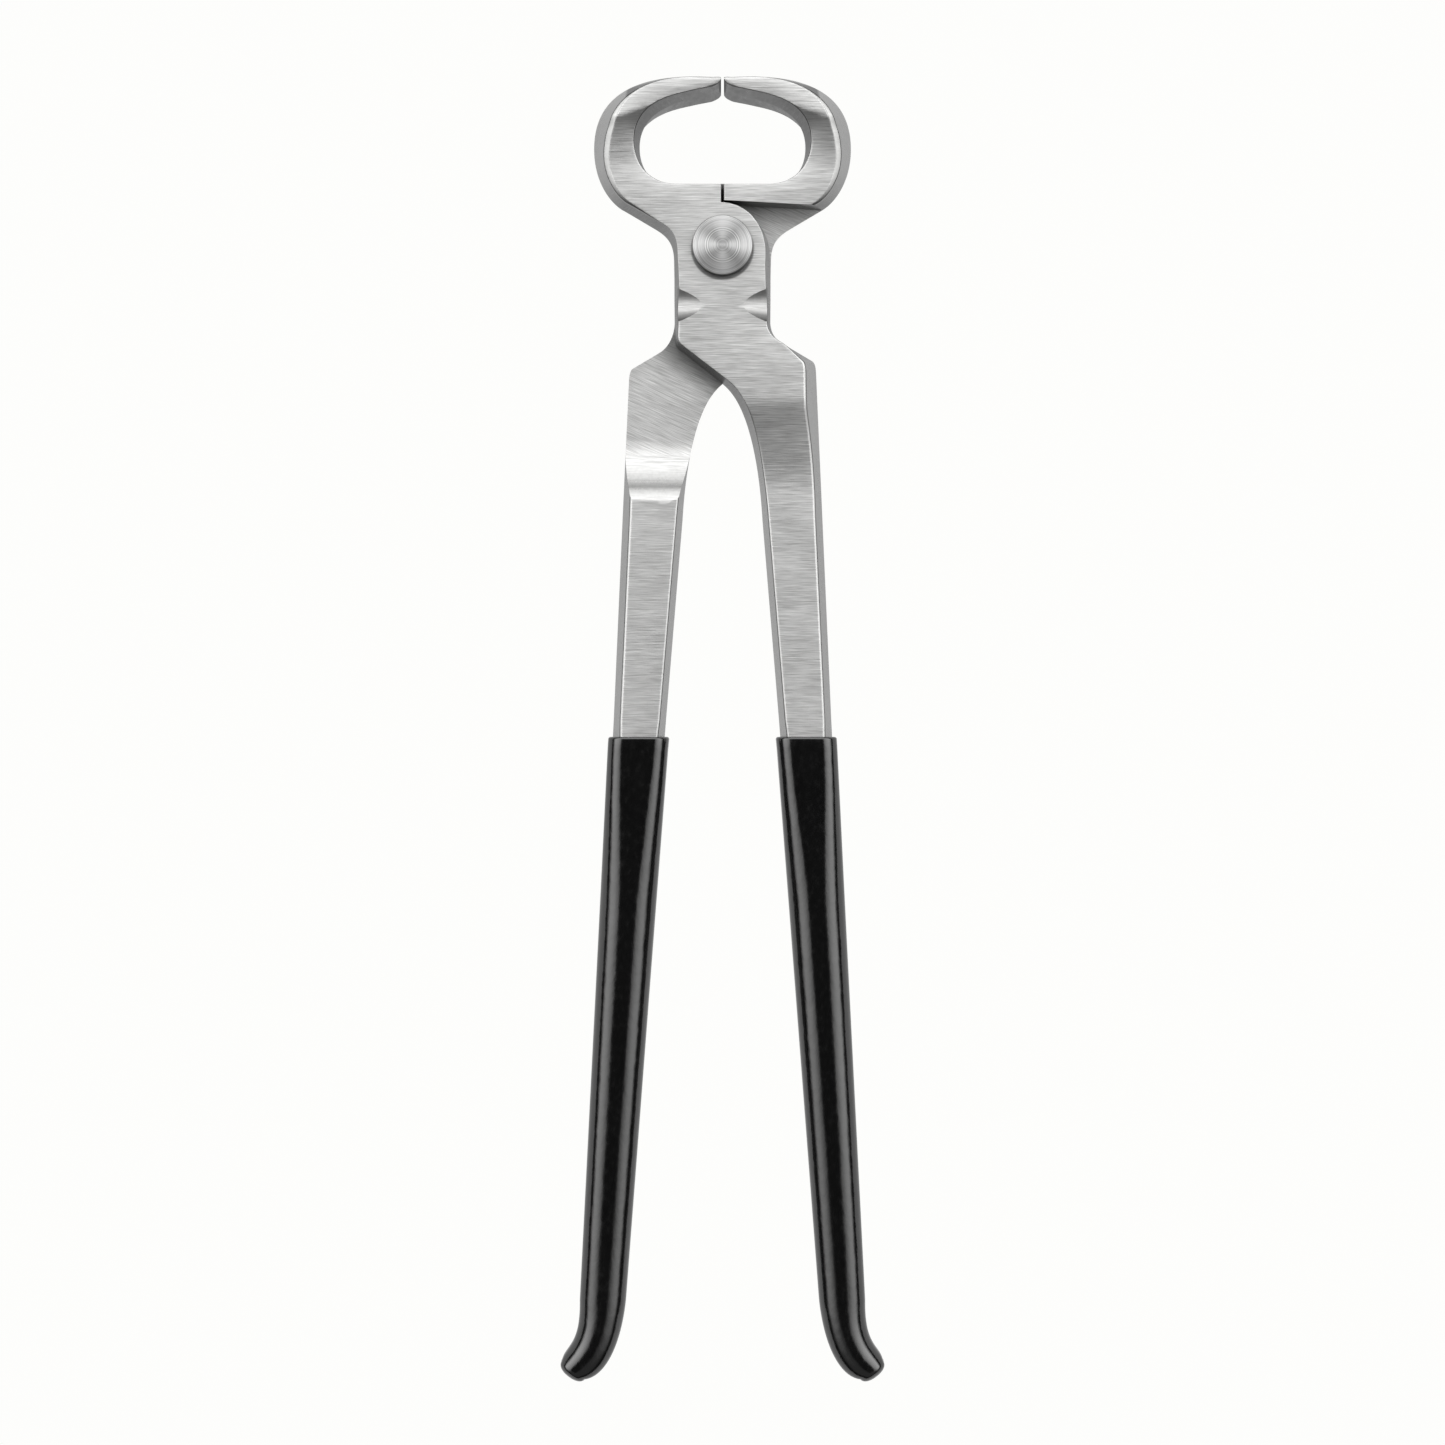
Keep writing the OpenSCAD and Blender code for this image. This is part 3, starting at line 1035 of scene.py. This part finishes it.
    def section(self, at: Station) -> list[Vector]:
        """The closed outline of one section, up its back side, over and down."""
        span = at.inner - at.back
        width, way = span.length, span.normalized()
        leans = [draft * self.depth(end) for draft, end in zip(at.drafts, (at.back, at.inner))]
        tops, hips = [], []
        for lean, bevel in zip(leans, at.bevels):
            outer = min(1.0, self.bevel_share * lean / bevel)
            tops.append(lean + (1 - outer) * bevel)
            hips.append(lean - outer * bevel)
        edges = (tops[0], width - tops[1])
        heights = [self.depth(at.back + way * edge) for edge in edges]
        drops = [height - self.bevel_drop * bevel for height, bevel in zip(heights, at.bevels)]
        wall, face = self.wall_points, self.face_points
        front, rear = (0.0, hips[0], edges[0]), (edges[1], width - hips[1], width)
        corners = [
            self.land_corner(front[0], -1), self.land_corner(front[0], 1, wall),
            self.bevel_corner(front[1], drops[0]), self.bevel_corner(front[2], heights[0], face),
            self.bevel_corner(rear[0], heights[1]), self.bevel_corner(rear[1], drops[1], wall),
            self.land_corner(rear[2], 1), self.land_corner(rear[2], -1, wall),
            self.bevel_corner(rear[1], -drops[1]), self.bevel_corner(rear[0], -heights[1], face),
            self.bevel_corner(front[2], -heights[0]), self.bevel_corner(front[1], -drops[0], wall),
        ]
        outline = []
        for s, z in rounded(corners):
            share = min(1.0, max(0.0, (s - edges[0]) / (edges[1] - edges[0])))
            plan = at.back + way * s
            true = self.depth(at.back + way * mixed(edges[0], edges[1], share))
            worn = self.crown * (2 * share - 1) ** 2
            outline.append(Vector((plan.x, plan.y, z * (true - worn) / mixed(heights[0], heights[1], share))))
        return outline


@dataclass
class ForgedHalf:
    """One half of the tool: its forging with the lap, the rivet's hole and the thumb scoops cut."""

    name: str
    body: Body
    forging: Forging
    turned: bool
    hole: float = 5.0
    lap_gap: float = 0.05
    shelf: float = 12.4
    shelf_slope: float = 3.0
    ramp_start: float = -51.5
    ramp_hollow: float = 13.0
    ramp_round: float = 6.5
    ramp_peak: float = 34.0
    ramp_exit: float = 6.0
    scoop_at: float = -16.0
    scoop_tip: float = 5.6
    scoop_raise: float = 5.0
    scoop_spread: float = 0.285
    scoop_flat: float = 1.1
    cut_near: float = 0.02
    shelf_reach: float = 2.0
    edge_ease: float = 0.25
    ease_from: float = 50.0
    round_steps: int = 96
    ramp_steps: int = 14
    sharp: float = 18.0
    clear: float = 60.0

    def lap_space(self) -> Form:
        """What the other half's lap takes out of the back: flat, then a ramp up into the rein."""
        floor = -2 * self.forging.jaw_half
        slope = math.tan(math.radians(self.shelf_slope))
        outline = [Vector((-self.clear, self.shelf - slope * self.clear, floor)),
                   Vector((-self.clear, self.shelf - slope * self.clear, self.lap_gap)),
                   *self.ramp()]
        outline.append(Vector((-self.clear, outline[-1].y, floor)))
        space = Form().slab(outline, Vector((2 * self.clear, 0, 0)))
        for vert in space.mesh.verts:
            if vert.co.x > 0 and vert.co.y > 0:
                vert.co.y = self.shelf + slope * self.clear
        return space

    def ramp(self) -> list[Vector]:
        """The profile from the lap to the rein: a long hollow arc and then a short round one."""
        y, z = self.ramp_start, self.lap_gap
        points = [Vector((-self.clear, y, z))]
        steps = self.ramp_steps
        for run, first, last in ((self.ramp_hollow, 0.0, self.ramp_peak),
                                 (self.ramp_round, self.ramp_peak, self.ramp_exit)):
            for k in range(steps):
                angle = math.radians(mixed(first, last, (k + 0.5) / steps))
                y -= run / steps
                z -= run / steps * math.tan(angle)
                points.append(Vector((-self.clear, y, z)))
        return points

    def bore(self) -> Form:
        """The hole for the rivet's shank."""
        reach = 2 * self.forging.joint_half
        ends = Vector((0, 0, -reach)), Vector((0, 0, reach))
        return Form().cone(self.hole, self.hole, *ends, self.round_steps)

    def scoop(self, side: int) -> Form:
        """A thumb scoop on one side of the neck: a flattened cone that lies level over the face."""
        apex = self.scoop_tip - self.scoop_raise / self.scoop_spread
        reach = 2 * self.forging.neck_x
        wide = (reach - apex) * self.scoop_spread
        top = self.forging.joint_half
        level = Vector((0, self.scoop_at, top + self.scoop_raise))
        ends = (level + Vector((side * x, 0, 0)) for x in (reach, apex))
        cone = Form().cone(wide, 0.0, *ends, self.round_steps)
        bmesh.ops.scale(cone.mesh, vec=Vector((1, 1, self.scoop_flat)), verts=cone.mesh.verts[:],
                        space=Matrix.Translation((0, 0, -top)))
        return cone

    def on_cut(self, at: Vector) -> bool:
        """Whether an edge's middle lies on the lap's face or on the shelf."""
        on_shelf = at.z < 0 and at.y > self.shelf - self.shelf_reach
        return abs(at.z - self.lap_gap) < self.cut_near or on_shelf

    def build(self, finish: ForgedSteel, pivot_height: float) -> bpy.types.Object:
        """Builds and dresses the half.

        Args:
            finish: its steel.
            pivot_height: height of the plane where the halves meet, in metres.

        Returns:
            The finished piece, riding on its body.
        """
        form = Form().sweep([self.forging.section(at) for at in self.forging.stations()])
        form.carve(self.lap_space(), self.bore(), self.scoop(-1), self.scoop(1))
        form.ease(self.edge_ease, self.ease_from, self.on_cut)
        piece = form.placed(self.name, pivot_height, self.turned, self.sharp)
        hand = 1 if self.turned else -1
        piece.data.materials.append(finish.make(self.name + "_steel", pivot_height, hand))
        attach(piece, self.body.value)
        return piece


# ---------------------------------------------------------------- the rivet


@dataclass
class Rivet:
    """The set rivet: a faced head at each end of a shank."""

    head: float = 8.15
    shank: float = 5.0
    head_top: float = 12.5
    seat: float = 10.0
    chamfer: float = 0.15
    ease: float = 0.45
    ease_steps: int = 6
    dome: float = 0.45
    dome_steps: int = 14
    round_steps: int = 128
    sharp: float = 32.0

    def outline(self) -> list[Point]:
        """Half of the rivet's section, from its rear pole to its front one."""
        edge, inner = self.head_top - self.dome, self.head - self.ease
        front = [(self.shank, self.seat), (self.head - self.chamfer, self.seat),
                 (self.head, self.seat + self.chamfer)]
        for k in range(self.ease_steps + 1):
            angle = math.pi / 2 * k / self.ease_steps
            front.append((inner + self.ease * math.cos(angle), edge - self.ease * (1 - math.sin(angle))))
        for k in range(1, self.dome_steps + 1):
            share = 1 - k / self.dome_steps
            front.append((inner * share, self.head_top - self.dome * share * share))
        rear = [(r, -z) for r, z in reversed(front)]
        return rear + front

    def build(self, finish: TurnedSteel, pivot_height: float) -> bpy.types.Object:
        """Builds and dresses the rivet.

        Args:
            finish: its steel.
            pivot_height: height of the middle of the rivet, in metres.

        Returns:
            The finished piece, riding on the front half's body.
        """
        form = Form().lathe(self.outline(), self.round_steps)
        piece = form.placed("rivet", pivot_height, False, self.sharp)
        piece.data.materials.append(finish.make("rivet_steel"))
        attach(piece, Body.FRONT.value)
        return piece


# ---------------------------------------------------------------- the grips


@dataclass
class Grip:
    """A dipped sleeve over the end of a rein, with a rolled mouth and a round foot."""

    name: str
    body: Body
    forging: Forging
    turned: bool
    wall: float = 1.19
    round_start: float = 4.2
    round_end: float = 6.2
    round_run: float = 50.0
    round_share: float = 0.9
    lip: float = 0.65
    lip_steps: int = 6
    tuck: float = 0.4
    plug: float = 0.6
    covered_from: float = 2.5
    foot: float = 2.38
    foot_steps: int = 8
    foot_turn: float = 90 * 8 / 8.5
    corner_steps: int = 14
    side_points: tuple[float, ...] = (0.25, 0.5, 0.75)
    sharp: float = 60.0

    def section(self, at: Station, grown: float, keep: float = 1.0) -> list[Vector]:
        """The closed outline of the sleeve at one place.

        Args:
            at: the place.
            grown: how far the sleeve stands off the rein there.
            keep: share of the full size, for the foot.

        Returns:
            The outline's points in order.
        """
        span = at.inner - at.back
        way, centre = span.normalized(), (at.inner + at.back) / 2
        wide = span.length / 2 + grown
        high = self.forging.depth(centre) + grown
        down = smooth(0.0, 1.0, (self.forging.grip_start - centre.y) / self.round_run)
        radius = mixed(self.round_start, self.round_end, down)
        radius = min(radius, self.round_share * high)
        corners = [Corner(Vector((a * wide, b * high)), radius, self.corner_steps, self.side_points)
                   for a, b in ((-1, -1), (-1, 1), (1, 1), (1, -1))]
        outline = []
        for s, z in rounded(corners):
            plan = centre + way * s * keep
            outline.append(Vector((plan.x, plan.y, z * keep)))
        return outline

    def covered(self) -> list[Station]:
        """The forging's sections that the sleeve covers, from its mouth to its foot."""
        stations = self.forging.stations()
        low = self.forging.grip_start
        inside = [at for at in stations if at.back.y < low - self.covered_from]
        before = next(at for at in reversed(stations) if at.back.y > low)
        share = (low - before.back.y) / (inside[0].back.y - before.back.y)
        mouth = Station(before.back.lerp(inside[0].back, share), before.inner.lerp(inside[0].inner, share),
                        before.drafts, before.bevels)
        return [mouth, *inside]

    def shifted(self, at: Station, run: float) -> Station:
        """A station moved by run along the rein, away from the pivot."""
        across = (at.inner - at.back).normalized()
        step = Vector((across.y, -across.x)) * run
        return Station(at.back + step, at.inner + step, at.drafts, at.bevels)

    def build(self, finish: DippedVinyl, pivot_height: float) -> bpy.types.Object:
        """Builds and dresses the grip.

        Args:
            finish: its vinyl.
            pivot_height: height of the middle of the sleeve, in metres.

        Returns:
            The finished piece, riding on its body.
        """
        places = self.covered()
        rows = [self.section(places[0], -self.plug)]
        for k in range(self.lip_steps + 1):
            angle = math.pi / 2 * k / self.lip_steps
            grown = self.wall - self.lip * (1 - math.sin(angle)) - (self.tuck if k == 0 else 0.0)
            rows.append(self.section(self.shifted(places[0], self.lip * (1 - math.cos(angle))), grown))
        rows += [self.section(at, self.wall) for at in places[1:]]
        for k in range(1, self.foot_steps + 1):
            angle = math.radians(self.foot_turn * k / self.foot_steps)
            place = self.shifted(places[-1], self.foot * math.sin(angle))
            rows.append(self.section(place, self.wall, math.cos(angle)))
        piece = Form().sweep(rows).placed(self.name, pivot_height, self.turned, self.sharp)
        piece.data.materials.append(finish.make(self.name + "_vinyl"))
        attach(piece, self.body.value)
        return piece


# ---------------------------------------------------------------- the studio


@dataclass
class Studio:
    """A pale floor, a ring of soft light that is strongest past the cutting edges, and the camera.

    Attributes:
        floor_colour: the floor as it is seen.
        floor_size: its side, in metres.
        floor_drop: how far it lies under the tool, in metres.
        paper: how brightly it lights the tool.
        shade_reach: how near the tool's walls are to the floor that they shade, in metres.
        shade_share: range of open sky in which the floor below the bars' gap grows bright.
        shade_side: range of distance from the middle in which that shade ends, in millimetres.
        shade_low: range along the tool in which the shade starts, in millimetres.
        shade_high: range along the tool in which it ends, in millimetres.
        shade_way: direction in which walls are looked for from the floor below the gap.
        shade_samples: how many rays look for them.
        distance: how far the camera stands above the middle of the tool.
        view_width: width of the view at that distance.
        view_centre: the camera's place along the tool.
        sensor: the camera's sensor, in millimetres.
        clip: how near and how far the camera sees.
        backdrop: brightness of the surroundings as they are seen.
        dark: light from straight above and from below the ring.
        ahead: the ring's light from past the cutting edges.
        behind: the ring's light from past the grips.
        sides: what the ring's two sides add.
        hole: heights between which the ring ends at its top.
        horizon: heights between which it starts.
        ahead_range: directions along the tool in which it grows from behind to ahead.
        aside_range: directions across the tool in which its sides grow.
        beside_range: directions along the tool in which its sides grow.
    """

    floor_colour: Colour = (0.985, 0.985, 0.972)
    floor_size: float = 6.0
    floor_drop: float = 0.0005
    paper: float = 0.62
    shade_reach: float = 0.009
    shade_share: Point = (0.66, 0.85)
    shade_side: Point = (0.55, 0.65)
    shade_low: Point = (8.0, 9.0)
    shade_high: Point = (20.0, 20.2)
    shade_way: Sizes = (0.0, -math.sqrt(0.5), math.sqrt(0.5))
    shade_samples: int = 16
    distance: float = 1.0
    view_width: float = 0.39405
    view_centre: float = -0.1287
    sensor: float = 36.0
    clip: Point = (0.01, 20.0)
    backdrop: float = 0.97
    dark: float = 0.02
    ahead: float = 1.7
    behind: float = 0.13
    sides: float = 1.05
    hole: Point = (0.93, 0.98)
    horizon: Point = (0.20, 0.50)
    ahead_range: Point = (-0.35, 0.50)
    aside_range: Point = (0.22, 0.80)
    beside_range: Point = (-0.60, -0.10)

    def floor_shade(self, tree: bpy.types.NodeTree) -> Wire:
        """The shade on the floor below the gap between the bars.

        It lies where the gap shows the floor to a viewer above the tool's middle, so from another
        side it can lie beside the gap.

        Args:
            tree: the floor's node tree.

        Returns:
            1 where the floor is bright and 0 in the shade.
        """
        x, y, _ = Finish.axes(tree, Finish.place(tree))
        lean = node(tree, "ShaderNodeCombineXYZ", {}, dict(enumerate(self.shade_way)))
        sky = node(tree, "ShaderNodeAmbientOcclusion", {"samples": self.shade_samples},
                   {"Distance": self.shade_reach, "Normal": lean}, "AO")
        middle = x.math("ABSOLUTE").fall(self.shade_side[0] * MM, self.shade_side[1] * MM)
        below_gap = middle * y.between(self.shade_low, self.shade_high)
        return 1.0 - below_gap * sky.fall(*self.shade_share)

    def floor_paper(self) -> bpy.types.Material:
        """The floor's material: paper that glows like a light table, and is clear from below."""
        made = bpy.data.materials.new("floor_paper")
        made.use_nodes = True
        tree = made.node_tree
        tree.nodes.clear()
        white = {"Color": (1.0, 1.0, 1.0, 1.0), "Strength": self.paper}
        paper = node(tree, "ShaderNodeEmission", {}, white)
        glow = node(tree, "ShaderNodeEmission", {}, {"Color": (*self.floor_colour, 1.0), "Strength": 1.0})
        shade = node(tree, "ShaderNodeEmission", {}, {"Color": (0.0, 0.0, 0.0, 1.0), "Strength": 0.0})
        shown = node(tree, "ShaderNodeMixShader", {}, {0: self.floor_shade(tree), 1: shade, 2: glow})
        seen = node(tree, "ShaderNodeLightPath", {}, {}, "Is Camera Ray")
        above = node(tree, "ShaderNodeMixShader", {}, {0: seen, 1: paper, 2: shown})
        under = node(tree, "ShaderNodeNewGeometry", {}, {}, "Backfacing")
        clear = node(tree, "ShaderNodeBsdfTransparent", {}, {})
        both = node(tree, "ShaderNodeMixShader", {}, {0: under, 1: above, 2: clear})
        tree.links.new(both.socket, tree.nodes.new("ShaderNodeOutputMaterial").inputs["Surface"])
        return made

    def floor(self) -> bpy.types.Object:
        """The pale floor that the tool lies on."""
        form = bmesh.new()
        bmesh.ops.create_grid(form, x_segments=1, y_segments=1, size=self.floor_size / 2)
        bmesh.ops.translate(form, vec=Vector((0, 0, -self.floor_drop)), verts=form.verts[:])
        data = bpy.data.meshes.new("floor")
        form.to_mesh(data)
        form.free()
        floor = bpy.data.objects.new("floor", data)
        bpy.context.scene.collection.objects.link(floor)
        data.materials.append(self.floor_paper())
        return floor

    def light(self) -> None:
        """The ring of soft light, as the world's colour by direction."""
        world = bpy.data.worlds.new("studio")
        bpy.context.scene.world = world
        world.use_nodes = True
        tree = world.node_tree
        tree.nodes.clear()
        ray = node(tree, "ShaderNodeTexCoord", {}, {}, "Generated")
        x, y, z = Finish.axes(tree, ray)
        ring = z.fall(*self.hole) * z.step(*self.horizon)
        ahead = self.behind + y.step(*self.ahead_range) * (self.ahead - self.behind)
        sides = x.math("ABSOLUTE").step(*self.aside_range) * y.step(*self.beside_range) * self.sides
        glow = self.dark + ring * (ahead + sides)
        seen = node(tree, "ShaderNodeLightPath", {}, {}, "Is Camera Ray")
        strength = glow + (self.backdrop - glow) * seen
        back = node(tree, "ShaderNodeBackground", {}, {"Color": (1.0, 1.0, 0.995, 1.0), "Strength": strength})
        tree.links.new(back.socket, tree.nodes.new("ShaderNodeOutputWorld").inputs["Surface"])

    def camera(self, pivot_height: float) -> bpy.types.Object:
        """The camera, straight above the middle of the tool."""
        data = bpy.data.cameras.new("camera")
        data.sensor_width = self.sensor
        data.lens = self.sensor * self.distance / self.view_width
        data.clip_start, data.clip_end = self.clip
        camera = bpy.data.objects.new("camera", data)
        camera.location = (0.0, self.view_centre, pivot_height + self.distance)
        bpy.context.scene.collection.objects.link(camera)
        bpy.context.scene.camera = camera
        return camera

    def build(self, pivot_height: float) -> None:
        """Sets up the floor, the light, the camera and plain colour handling."""
        self.floor()
        self.light()
        self.camera(pivot_height)
        bpy.context.scene.view_settings.view_transform = "Standard"


# ---------------------------------------------------------------- the whole tool


def main() -> None:
    """Builds the tool's pieces in order and reports each one."""
    logging.basicConfig(level=logging.INFO, format="%(name)s: %(message)s")
    height = frame["record"]["behaviour"]["joints"][0]["pos_m"][2]
    Studio().build(height)
    front, rear = Forging(shoulder=-30.6), Forging(shoulder=-32.6)
    steel, vinyl = ForgedSteel(), DippedVinyl()
    pieces = {
        "front_half": ForgedHalf("forged_front", Body.FRONT, front, turned=False).build(steel, height),
        "rear_half": ForgedHalf("forged_rear", Body.REAR, rear, turned=True, hole=5.05).build(steel, height),
        "pivot_rivet": Rivet().build(TurnedSteel(), height),
        "right_grip": Grip("sleeve_right", Body.FRONT, front, turned=False).build(vinyl, height),
        "left_grip": Grip("sleeve_left", Body.REAR, rear, turned=True).build(vinyl, height),
    }
    for name, piece in pieces.items():
        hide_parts(name)
        log.info("%s stands for %s: %d faces", piece.name, name, len(piece.data.polygons))


if __name__ == "__main__":
    main()
